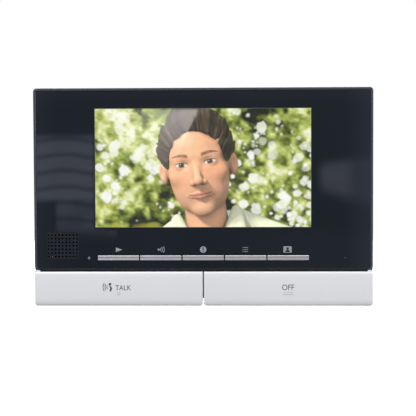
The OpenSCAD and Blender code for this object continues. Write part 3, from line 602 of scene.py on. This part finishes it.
def portrait(x, y):
    """Colour and cover of the head at points of the head's own plane."""
    count = x.size
    turn = np.array([[math.cos(HEAD_TURN), 0, math.sin(HEAD_TURN)], [0, 1, 0],
                     [-math.sin(HEAD_TURN), 0, math.cos(HEAD_TURN)]])
    start = np.stack([x, y, np.full(count, 1.15)], 1) @ turn.T
    ahead = turn @ np.array([0, 0, -1.0])
    travel, nearest, reached = np.zeros(count), np.full(count, 9.0), np.zeros(count)
    active = np.arange(count)
    for _ in range(64):
        d = whole(start[active] + travel[active, None] * ahead)
        closer = active[d < nearest[active]]
        nearest[closer], reached[closer] = d[d < nearest[active]], travel[closer]
        travel[active] += d * 0.85
        active = active[(d > 0.002) & (travel[active] < 2.3)]
        if not active.size:
            break
    cover = smooth(0.014, 0.0, nearest)
    near = np.nonzero(cover > 0)[0]
    p = start[near] + reached[near, None] * ahead
    small = 0.006
    normal = np.stack([whole(p + small * np.eye(3)[k]) - whole(p - small * np.eye(3)[k])
                       for k in range(3)], 1)
    normal /= np.linalg.norm(normal, axis=1)[:, None] + 1e-9
    open_ = np.ones(len(p))
    for reach, weight in ((0.04, 1.6), (0.12, 0.9), (0.3, 0.5)):
        open_ -= weight * np.maximum(reach - whole(p + normal * reach), 0) / reach * 0.33
    open_ = np.clip(open_, 0.15, 1)
    sun = np.array([-0.42, 0.62, 0.66])
    sun /= np.linalg.norm(sun)
    lit, reach = np.ones(len(p)), np.full(len(p), 0.05)
    for _ in range(14):
        d = whole(p + normal * 0.015 + sun * reach[:, None])
        lit = np.minimum(lit, 7 * d / reach)
        reach += np.clip(d, 0.02, 0.15)
    lit = np.clip(lit, 0, 1)
    facing = normal @ sun
    soft = np.clip((facing + 0.35) / 1.35, 0, 1)
    side = np.clip(normal @ np.array([0.85, 0.1, 0.5]), 0, 1)
    above = normal[:, 1] * 0.5 + 0.5

    kinds = np.stack([skin(p), hair(p), shirt(p)], 1).argmin(1)
    px, py, pz = p.T
    ax = np.abs(px)
    # Skin
    tone = np.tile(np.array([0.66, 0.365, 0.225]), (len(p), 1))
    blush = np.exp(-((ax - 0.36) / 0.16) ** 2 - ((py + 0.25) / 0.15) ** 2)
    tone = blend(tone, np.array([0.66, 0.29, 0.18]), 0.45 * blush)
    tone = blend(tone, np.array([0.60, 0.26, 0.17]),
                 0.35 * np.exp(-(ax / 0.1) ** 2 - ((py + 0.33) / 0.08) ** 2))
    shaven = smooth(-0.42, -0.62, py) * smooth(-1.2, -0.9, py)
    tone = blend(tone, np.array([0.50, 0.30, 0.21]), 0.30 * shaven)
    tone = tone * (0.97 + 0.06 * cloud(11, px, py, 0.05))[:, None]
    edge = np.clip(1 - (ax / 0.24) ** 2, 0, 1)
    line = -0.594 + 0.028 * (ax / 0.24) ** 2
    above_line = (py - line) / (0.046 * edge ** 0.6 * (1 - 0.18 * np.exp(-(ax / 0.03) ** 2)) + 1e-4)
    below_line = (line - py) / (0.058 * edge ** 0.7 + 1e-4)
    lips = np.where(py > line, smooth(1.15, 0.85, above_line), smooth(1.15, 0.85, below_line))
    lips = lips * (ax < 0.238) * (pz > 0.3)
    tone = blend(tone, np.array([0.47, 0.19, 0.15]), 0.8 * lips)
    parting = np.exp(-((py - line) / 0.009) ** 2) * smooth(0.25, 0.2, ax) * (pz > 0.3)
    tone = blend(tone, np.array([0.13, 0.05, 0.04]), 0.8 * parting)
    nostril = np.exp(-((ax - 0.062) / 0.028) ** 2 - ((py + 0.398) / 0.014) ** 2)
    tone = blend(tone, np.array([0.10, 0.04, 0.03]), 0.75 * nostril * (pz > 0.3))
    # Brows
    brow = np.clip((ax - 0.13) / 0.31, 0, 1)
    brow_y = 0.152 + 0.035 * np.sin(brow * 2.7)
    thick = 0.034 * (1 - 0.75 * brow ** 2)
    hairs = 0.6 + 0.4 * cloud(12, px * 60 + py * 50, py * 16, 1.0)
    brows = smooth(1.3, 0.5, np.abs(py - brow_y) / thick) * smooth(0.11, 0.15, ax)
    brows = brows * smooth(0.46, 0.42, ax) * hairs * (pz > 0.2)
    tone = blend(tone, np.array([0.055, 0.032, 0.022]), 0.9 * brows)
    # Eyes
    ex, ey = (ax - 0.272) / 0.13, py - 0.010 * (ax - 0.272) / 0.13
    arch = np.clip(1 - ex * ex, 0, 1)
    upper, lower = 0.050 * arch ** 0.7, -0.033 * arch ** 0.8
    ahead_of = (pz > 0.25) * (np.abs(ex) < 1)
    opening = smooth(0.004, -0.004, ey - upper) * smooth(-0.004, 0.004, ey - lower) * ahead_of
    eye = np.tile(np.array([0.62, 0.56, 0.52]), (len(p), 1))
    iris = np.hypot(ax - 0.272, py - 0.006)
    eye = blend(eye, np.array([0.10, 0.062, 0.04]), smooth(0.056, 0.047, iris))
    eye = blend(eye, np.array([0.012, 0.01, 0.01]), smooth(0.026, 0.020, iris))
    eye = blend(eye, np.array([0.03, 0.02, 0.02]),
                0.6 * smooth(0.010, 0.0, np.abs(iris - 0.052)))
    eye = eye * (1 - 0.55 * smooth(-0.028, 0.0, ey - upper))[:, None]
    tone = blend(tone, eye, opening)
    lash = np.exp(-((ey - upper - 0.003) / 0.0085) ** 2) * ahead_of * smooth(1.0, 0.8, np.abs(ex))
    under = np.exp(-((ey - lower + 0.002) / 0.005) ** 2) * ahead_of
    crease = np.exp(-((ey - upper - 0.030) / 0.010) ** 2) * ahead_of
    tone = blend(tone, np.array([0.03, 0.016, 0.012]), 0.9 * lash)
    tone = blend(tone, np.array([0.22, 0.10, 0.07]), 0.45 * under)
    tone = blend(tone, np.array([0.30, 0.13, 0.08]), 0.5 * crease)
    glint = np.exp(-(np.hypot(px - np.sign(px) * 0.272 + 0.016, py - 0.022) / 0.010) ** 2)
    # Hair and shirt
    angle = np.arctan2(px + 0.25 * py, py + 0.6)
    length = np.sqrt(px * px + py * py + pz * pz)
    strand = cloud(9, angle * 90 + 4 * cloud(10, px, py, 0.2), length * 2 + pz, 1.0)
    locks = cloud(7, angle * 9 + cloud(8, py, pz, 0.3), length * 0.7 + pz, 1.0)
    brown = blend(np.tile(np.array([0.020, 0.012, 0.009]), (len(p), 1)),
                  np.array([0.16, 0.095, 0.06]), strand ** 2 * (0.35 + 0.65 * locks))
    cloth = np.tile(np.array([0.60, 0.62, 0.47]), (len(p), 1))
    cloth = cloth * (0.94 + 0.08 * cloud(13, px * 3, py * 3, 0.2))[:, None]
    albedo = np.where((kinds == 0)[:, None], tone, np.where((kinds == 1)[:, None], brown, cloth))

    direct = (soft * (0.25 + 0.75 * lit))[:, None] * np.array([1.10, 1.02, 0.92])
    blood = smooth(0.0, 0.45, soft) * smooth(0.75, 0.35, soft) * (kinds == 0)
    direct = direct + (0.05 * blood)[:, None] * np.array([1.0, 0.25, 0.1])
    around = (open_ * (0.22 + 0.26 * above))[:, None] * np.array([0.95, 1.0, 1.0])
    bounce = (open_ * side * 0.22)[:, None] * np.array([1.0, 0.98, 0.85])
    color = albedo * (direct * 1.35 + around * 1.15 + bounce)
    half = sun + np.array([0, 0, 1.0])
    half /= np.linalg.norm(half)
    shine = np.clip(normal @ half, 0, 1)
    color = color + (0.10 * shine ** 22 * lit * (kinds == 0) * (1 - opening))[:, None]
    combed = 1 - np.abs(normal[:, 1] * 0.6 + normal[:, 2] * 0.3 - 0.62)
    color = color + (0.10 * np.clip(combed, 0, 1) ** 6 * strand * lit
                     * (kinds == 1))[:, None] * np.array([1.0, 0.9, 0.8])
    color = color + (0.7 * glint * opening)[:, None]
    out = np.zeros((count, 3))
    out[near] = color
    return out, cover


def garden(u, v):
    """Foliage and pale blossoms, far out of focus."""
    drift = 3 * cloud(20, u, v, 9)
    broad = cloud(21, u, v, 15)
    leaf = 0.55 * cloud(22, u + drift, v - drift, 5.5) + 0.3 * cloud(23, u, v + drift, 2.8)
    leaf = leaf + 0.15 * cloud(24, u * 0.8 + v * 0.5, v, 1.5)
    light = 0.28 + 0.46 * (broad - 0.4) + 1.15 * (leaf - 0.42)
    light = light + 0.24 * smooth(0, -60, u) * smooth(-25, 45, v) + 0.05 * smooth(20, 60, u)
    light = light - 0.04 * smooth(30, -20, v) * smooth(-30, -20, -u)
    light = light - 0.55 * np.exp(-((u - 34) / 11) ** 2 - ((v - 56) / 10) ** 2)
    light = light - 0.20 * np.exp(-((u + 38) / 16) ** 2 - ((v + 18) / 5) ** 2)
    tones = [screen_color(36, 38, 16), screen_color(88, 98, 36), screen_color(140, 154, 66),
             screen_color(186, 196, 106), screen_color(224, 228, 164), screen_color(248, 249, 226)]
    color = np.stack([np.interp(light, (0.05, 0.25, 0.42, 0.58, 0.74, 0.95),
                                [tone[k] for tone in tones]) for k in range(3)], -1)
    yellow = smooth(0.45, 0.8, cloud(25, u, v, 7)) * smooth(10, -25, v) * smooth(0, -40, u)
    color = blend(color, screen_color(206, 204, 70), 0.55 * yellow)
    rng = np.random.default_rng(31)
    groups = [(-68, 35, 7, 8, 12), (-60, 12, 7, 7, 10), (-62, -3, 8, 5, 10), (-38, 27, 9, 7, 10),
              (-30, 48, 10, 7, 6), (-57, 54, 8, 5, 5), (-24, -9, 4, 4, 5), (-33, 8, 4, 8, 6),
              (27, 54, 6, 5, 4), (46, 44, 9, 8, 16), (32, 30, 8, 7, 12), (70, 30, 6, 9, 12),
              (30, 8, 6, 8, 10), (52, 18, 10, 8, 8), (70, 2, 7, 10, 26), (62, -8, 6, 8, 16),
              (48, -8, 8, 7, 8), (20, -6, 5, 5, 5), (72, -16, 5, 5, 14), (-50, 30, 14, 18, 12)]
    for cu, cv, su, sv, number in groups:
        for _ in range(round(1.3 * number)):
            bu, bv = rng.normal(cu, su), rng.normal(cv, sv)
            size = 0.5 + 3.2 * rng.random() ** 3
            pale = blend(screen_color(236, 240, 214), screen_color(255, 255, 252), rng.random())
            wobble = 0.35 * (cloud(40, u, v, 1.8) - 0.5) * size
            reach = np.hypot(u - bu, (v - bv) * rng.uniform(0.85, 1.2)) + wobble
            color = blend(color, pale, rng.uniform(0.5, 0.98)
                          * smooth(size + 0.9, size - 0.7, reach))
    return color


def picture(u, v):
    """Linear colours of the picture at millimetres across and up the display."""
    color = garden(u, v)
    across = (u - HEAD_PLACE[0]) * math.cos(HEAD_TILT) + (v - HEAD_PLACE[1]) * math.sin(HEAD_TILT)
    up = (v - HEAD_PLACE[1]) * math.cos(HEAD_TILT) - (u - HEAD_PLACE[0]) * math.sin(HEAD_TILT)
    near = (np.abs(across) < 2.2 * HEAD_UNIT)
    head, cover = portrait(across[near] / HEAD_UNIT, up[near] / HEAD_UNIT)
    color[near] = blend(color[near], head, cover)
    return np.clip(color, 0, 1)


def show_picture():
    """The picture as a fine sheet of coloured points on the face of the display."""
    shape = bmesh.new()
    bmesh.ops.create_grid(shape, x_segments=PICTURE_STEPS[0], y_segments=PICTURE_STEPS[1], size=0.5)
    width, height = picture_high.x - picture_low.x, picture_high.z - picture_low.z
    place = Matrix.Translation((0, picture_low.y - 0.05 * MM, (picture_low.z + picture_high.z) / 2))
    bmesh.ops.transform(shape, verts=shape.verts, matrix=(
        place @ Matrix.Rotation(math.pi / 2, 4, "X") @ Matrix.Diagonal((width, height, 1, 1))))
    piece = piece_of("lcd_picture", shape, "monitor", "lcd_picture", smooth=False)
    places = np.empty(len(piece.data.vertices) * 3)
    piece.data.vertices.foreach_get("co", places)
    places = places.reshape(-1, 3) / MM
    colors = np.ones((len(places), 4))
    colors[:, :3] = picture(places[:, 0], places[:, 2])
    layer = piece.data.color_attributes.new("picture", "FLOAT_COLOR", "POINT")
    layer.data.foreach_set("color", colors.ravel())


# --- Reflections in the glossy front --------------------------------------------------------

def mirrored(x, z, depth):
    """Where a mirror ray from the camera over that place on the panel meets y = -depth."""
    eye = bpy.context.scene.camera.location
    behind = 2 * PANEL_Y - eye.y
    t = (-depth - behind) / (PANEL_Y - behind)
    return eye.x + t * (x - eye.x), eye.z + t * (z - eye.z)


def mirrored_light(x, z):
    """What the studio shows to the panel at millimetres across and up."""
    level = WORLD_MIRRORED * (0.85 + 0.3 * cloud(50, x, z, 40))
    level = level + 0.10 * smooth(62, 78, z) + 0.12 * smooth(102, 121, np.abs(x))
    level = level + 0.10 * smooth(96, 118, x) + 0.07 * smooth(-10, 60, x) * smooth(-15, -35, z)
    wave = 0.82 + 0.12 * cloud(51, x * 0.35 + 0.5 * z, z, 5) + 0.2 * cloud(52, x, z * 3, 30)
    low = 0.75 * smooth(-34, -16, z) * smooth(-107, -103, x) * (0.6 + 0.6 * cloud(53, x, z, 9))
    creases = 2 * np.abs(((z - 29.3 - 1.5 * np.sin(x / 9)) / 11.4) % 1 - 0.5)
    left = (smooth(47, 40, z) * np.maximum(smooth(-5, 1, z), low)
            * (1 - 0.55 * smooth(0.45, 1, creases))
            * smooth(-77.2, -78.6, x - 16 * smooth(-22, -24, z)))
    right = (smooth(28, 18, z - 0.15 * (x - 84)) * smooth(-1, 12, z + 0.3 * (x - 84))
             * smooth(79.5, 88, x) * (1 - 0.65 * smooth(99, 112, x)))
    level = level + (0.92 * left + 0.72 * right) * wave
    edge = -2.5 - 16.5 * np.clip((63.4 - z) / 36.4, 0, 1) ** 0.95
    inside = smooth(0.35, -0.35, x - edge) * (np.abs(x) < 77.1) * (z < 62.0)
    glare = smooth(14, 66, z) * (0.2 + 0.8 * smooth(-66, -8, x))
    return level, GLARE * glare * inside * smooth(-77, -60, x)


def make_reflections():
    shape = bmesh.new()
    bmesh.ops.create_grid(shape, x_segments=330, y_segments=220, size=0.5)
    for vert in shape.verts:
        x, z = mirrored(vert.co.x * 0.33, vert.co.y * 0.22, MIRROR_DEPTH)
        vert.co = (x, -MIRROR_DEPTH, z)
    mesh = bpy.data.meshes.new("reflection_card")
    shape.to_mesh(mesh)
    shape.free()
    places = np.array([vert.co for vert in mesh.vertices])
    x0, z0 = mirrored(0, 0, MIRROR_DEPTH)
    x1, z1 = mirrored(1, 1, MIRROR_DEPTH)
    level, glare = mirrored_light((places[:, 0] - x0) / (x1 - x0) / MM,
                                  (places[:, 2] - z0) / (z1 - z0) / MM)
    layer = mesh.color_attributes.new("light", "FLOAT_COLOR", "POINT")
    layer.data.foreach_set("color", np.stack([level * 0.95 + glare, level + glare,
                                              level * 1.25 + glare * 0.98,
                                              np.ones(len(level))], 1).ravel())
    finish = Finish("reflection_light", Base_Color=(0, 0, 0, 1), Emission_Strength=1)
    finish.feed("Emission Color", finish.add("ShaderNodeAttribute", {"attribute_name": "light"}))
    mesh.materials.append(finish.material)
    card = bpy.data.objects.new("reflection_card", mesh)
    bpy.context.scene.collection.objects.link(card)
    card.visible_camera = card.visible_diffuse = card.visible_shadow = False


make_reflections()


# --- Prints ---------------------------------------------------------------------------------

def disc(ink, x, z, radius, steps=28):
    made = bmesh.ops.create_circle(ink, cap_ends=True, segments=steps, radius=radius)
    bmesh.ops.translate(ink, verts=made["verts"], vec=(x, z, 0))


def arc(ink, x, z, middle, width, start, end, steps=14):
    """A band of a ring between two angles in degrees."""
    angle = math.radians(start)
    rim = [ink.verts.new((x + r * math.cos(angle), z + r * math.sin(angle), 0))
           for r in (middle - width / 2, middle + width / 2)]
    bmesh.ops.spin(ink, geom=rim + [ink.edges.new(rim)], cent=(x, z, 0), axis=(0, 0, 1),
                   angle=math.radians(end - start), steps=steps, use_merge=False)


def block(ink, x, z, width, height, corner=0.0):
    made = bmesh.ops.create_grid(ink, x_segments=1, y_segments=1, size=0.5)["verts"]
    bmesh.ops.scale(ink, verts=made, vec=(width, height, 1))
    bmesh.ops.translate(ink, verts=made, vec=(x, z, 0))
    if corner:
        bmesh.ops.bevel(ink, geom=made, offset=corner, offset_type="OFFSET", segments=5,
                        affect="VERTICES", profile=0.5, material=-1)


def outline(ink, *corners):
    ink.faces.new([ink.verts.new((x, z, 0)) for x, z in corners])


def word_shape(word, x, z, height, width):
    """A word in plain capitals, centred on a place and fitted to a size in millimetres."""
    curve = bpy.data.curves.new(word, "FONT")
    curve.body = word
    curve.resolution_u = 6
    holder = bpy.data.objects.new(word, curve)
    bpy.context.scene.collection.objects.link(holder)
    mesh = bpy.data.meshes.new_from_object(holder)
    bpy.data.objects.remove(holder)
    ink = bmesh.new()
    ink.from_mesh(mesh)
    bmesh.ops.remove_doubles(ink, verts=ink.verts, dist=1e-5)
    xs, ys = [v.co.x for v in ink.verts], [v.co.y for v in ink.verts]
    bmesh.ops.translate(ink, verts=ink.verts, vec=(-(min(xs) + max(xs)) / 2,
                                                   -(min(ys) + max(ys)) / 2, 0))
    bmesh.ops.scale(ink, verts=ink.verts, vec=(width / (max(xs) - min(xs)),
                                               height / (max(ys) - min(ys)), 1))
    bmesh.ops.translate(ink, verts=ink.verts, vec=(x, z, 0))
    return ink


def lay_print(name, ink, body, finish, slot, ground=None, lift=PRINT_LIFT):
    """Stands a flat shape up and lays it on the panel, or on another surface, as a film."""
    bmesh.ops.triangulate(ink, faces=ink.faces)
    bmesh.ops.transform(ink, verts=ink.verts, matrix=(
        Matrix.Scale(MM, 4) @ Matrix.Rotation(math.pi / 2, 4, "X")))
    for face in ink.faces:
        face.normal_update()
        if face.normal.y > 0:
            face.normal_flip()
    for vert in ink.verts:
        level = PANEL_Y
        if ground:
            hit = ground.ray_cast(Vector((vert.co.x, -0.1, vert.co.z)), Vector((0, 1, 0)))[0]
            level = hit.y if hit else PANEL_Y
        vert.co.y = level - lift
    return piece_of(name, ink, body, slot, finish, smooth=False)


def ground_of(piece):
    shape = bmesh.new()
    shape.from_mesh(piece.data)
    tree = BVHTree.FromBMesh(shape)
    shape.free()
    return tree


PALE_INK = printed_ink("pale_ink", rgba(0.25, 0.255, 0.27))
DIM_INK = printed_ink("dim_ink", rgba(0.17, 0.175, 0.19))
DARK_INK = printed_ink("dark_ink", rgba(0.012, 0.014, 0.018), 0.3)
GREY_INK = printed_ink("grey_ink", rgba(0.04, 0.043, 0.05), 0.5)
# Painted shade: a grey ink for the films round the small raised marks on the large keys, standing
# in for the shading at their edges.
MARK_SHADE_INK = printed_ink("painted_mark_shade", rgba(0.24, 0.245, 0.26), 0.55)
ICON_Z = -37.4
ICON_PITCH = 30.1
MARK_Z = -68.9


def panel_prints():
    play, volume, alert, rows, contact = [i * ICON_PITCH for i in range(-2, 3)]
    ink = bmesh.new()
    outline(ink, (play - 2.3, ICON_Z - 1.6), (play + 2.3, ICON_Z), (play - 2.3, ICON_Z + 1.6))
    start = volume - 2.3
    disc(ink, start + 0.5, ICON_Z, 0.7)
    for radius, half in ((1.9, 34), (3.2, 32), (4.5, 29)):
        arc(ink, start, ICON_Z, radius, 0.5, -half, half)
    disc(ink, alert, ICON_Z, 2.3, 36)
    block(ink, contact, ICON_Z, 5.9, 4.5, 0.5)
    lay_print("icons", ink, "monitor", PALE_INK, "panel_gloss")

    ink = bmesh.new()
    outline(ink, (alert - 0.5, ICON_Z + 1.55), (alert - 0.3, ICON_Z - 0.4),
            (alert + 0.3, ICON_Z - 0.4), (alert + 0.5, ICON_Z + 1.55))
    disc(ink, alert, ICON_Z - 1.2, 0.45)
    disc(ink, contact, ICON_Z + 0.7, 0.95)
    outline(ink, (contact - 1.9, ICON_Z - 1.9), (contact + 1.9, ICON_Z - 1.9),
            (contact + 1.5, ICON_Z - 0.8), (contact + 0.6, ICON_Z - 0.3),
            (contact - 0.6, ICON_Z - 0.3), (contact - 1.5, ICON_Z - 0.8))
    for side in (-1, 1):
        disc(ink, contact + side * 2.45, ICON_Z, 0.25)
    lay_print("icon_marks", ink, "monitor", DARK_INK, "panel_gloss", lift=PRINT_LIFT * 1.6)

    ink = bmesh.new()
    for step in (-1, 0, 1):
        block(ink, rows - 1.65, ICON_Z + step * 1.45, 0.62, 0.55)
        block(ink, rows + 0.45, ICON_Z + step * 1.45, 3.0, 0.5)
    lay_print("list_icon", ink, "monitor", DIM_INK, "panel_gloss")


def key_prints(talk, off):
    ground = ground_of(talk)
    lay_print("talk_word", word_shape("TALK", -57.4, -64.7, 3.6, 11.3), "talk_key",
              GREY_INK, "key_silver", ground)
    ink = bmesh.new()
    for radius, half in ((1.9, 40), (3.3, 40), (4.7, 38)):
        arc(ink, -67.2, -64.3, radius, 0.5, 180 - half, 180 + half)
    disc(ink, -66.9, -62.2, 0.95)
    outline(ink, (-67.5, -63.6), (-66.0, -63.6), (-65.3, -65.4), (-66.6, -67.6), (-67.4, -67.1),
            (-66.6, -65.4))
    lay_print("talk_icon", ink, "talk_key", GREY_INK, "key_silver", ground)
    ink = bmesh.new()
    # Painted shade: a grey ring round the raised dot on the talk key.
    arc(ink, -60.7, MARK_Z, 0.95, 0.24, 0, 360, 28)
    lay_print("dot_painted_shade", ink, "talk_key", MARK_SHADE_INK, "key_silver", ground)
    ground = ground_of(off)
    lay_print("off_word", word_shape("OFF", 60.6, -64.5, 4.1, 8.6), "off_key",
              GREY_INK, "key_silver", ground)
    ink = bmesh.new()
    # Painted shade: grey lines along the top and bottom of the raised dash on the off key.
    for side in (-1, 1):
        block(ink, 60.7, MARK_Z + side * 0.78, 7.0, 0.24)
    lay_print("dash_painted_shade", ink, "off_key", MARK_SHADE_INK, "key_silver", ground)


# --- Pieces ---------------------------------------------------------------------------------

def clear_of_mark(middle):
    """Leaves the small raised marks on the large keys as they are."""
    return (abs(abs(middle.x) - 60.7 * MM) > 4.5 * MM
            or abs(middle.z - MARK_Z * MM) > 1.5 * MM)


def window_edge_highlight():
    """A painted highlight: a thin pale line round the picture that stands in for light on the
    polished edge of the window.
    """
    shape = bmesh.new()
    middle, size = (window_low + window_high) / 2, window_high - window_low
    bmesh.ops.create_grid(shape, x_segments=1, y_segments=1, size=0.5)
    bmesh.ops.transform(shape, verts=shape.verts, matrix=(
        Matrix.Translation((middle.x, window_low.y - PRINT_LIFT * 0.5, middle.z))
        @ Matrix.Rotation(math.pi / 2, 4, "X") @ Matrix.Diagonal((size.x, size.z, 1, 1))))
    centre = shape.faces[:]
    bmesh.ops.inset_region(shape, faces=centre, thickness=0.35 * MM, use_boundary=True)
    bmesh.ops.delete(shape, geom=centre, context="FACES")
    # Painted highlight: an opaque pale grey film over the outer 0.35 mm of the window.
    edge = moulded_plastic("window_edge_highlight", rgba(0.10, 0.115, 0.12), 0.3, 0.02)
    piece_of("window_edge_highlight", shape, "monitor", "window_clear", edge, smooth=False)


show_picture()
window_edge_highlight()
panel_prints()
key_prints(finished("talk_key", 0.3 * MM, keep=clear_of_mark),
           finished("off_key", 0.3 * MM, keep=clear_of_mark))
for key in ("play", "volume", "alert", "list", "contact"):
    finished(key + "_key", 0.2 * MM, segments=2)
finished("front_case", 0.6 * MM, keep=lambda middle: middle.y < -26.9 * MM)
finished("rear_cover", 0.3 * MM, segments=2)
finished("wall_bracket", 0.15 * MM, segments=2)
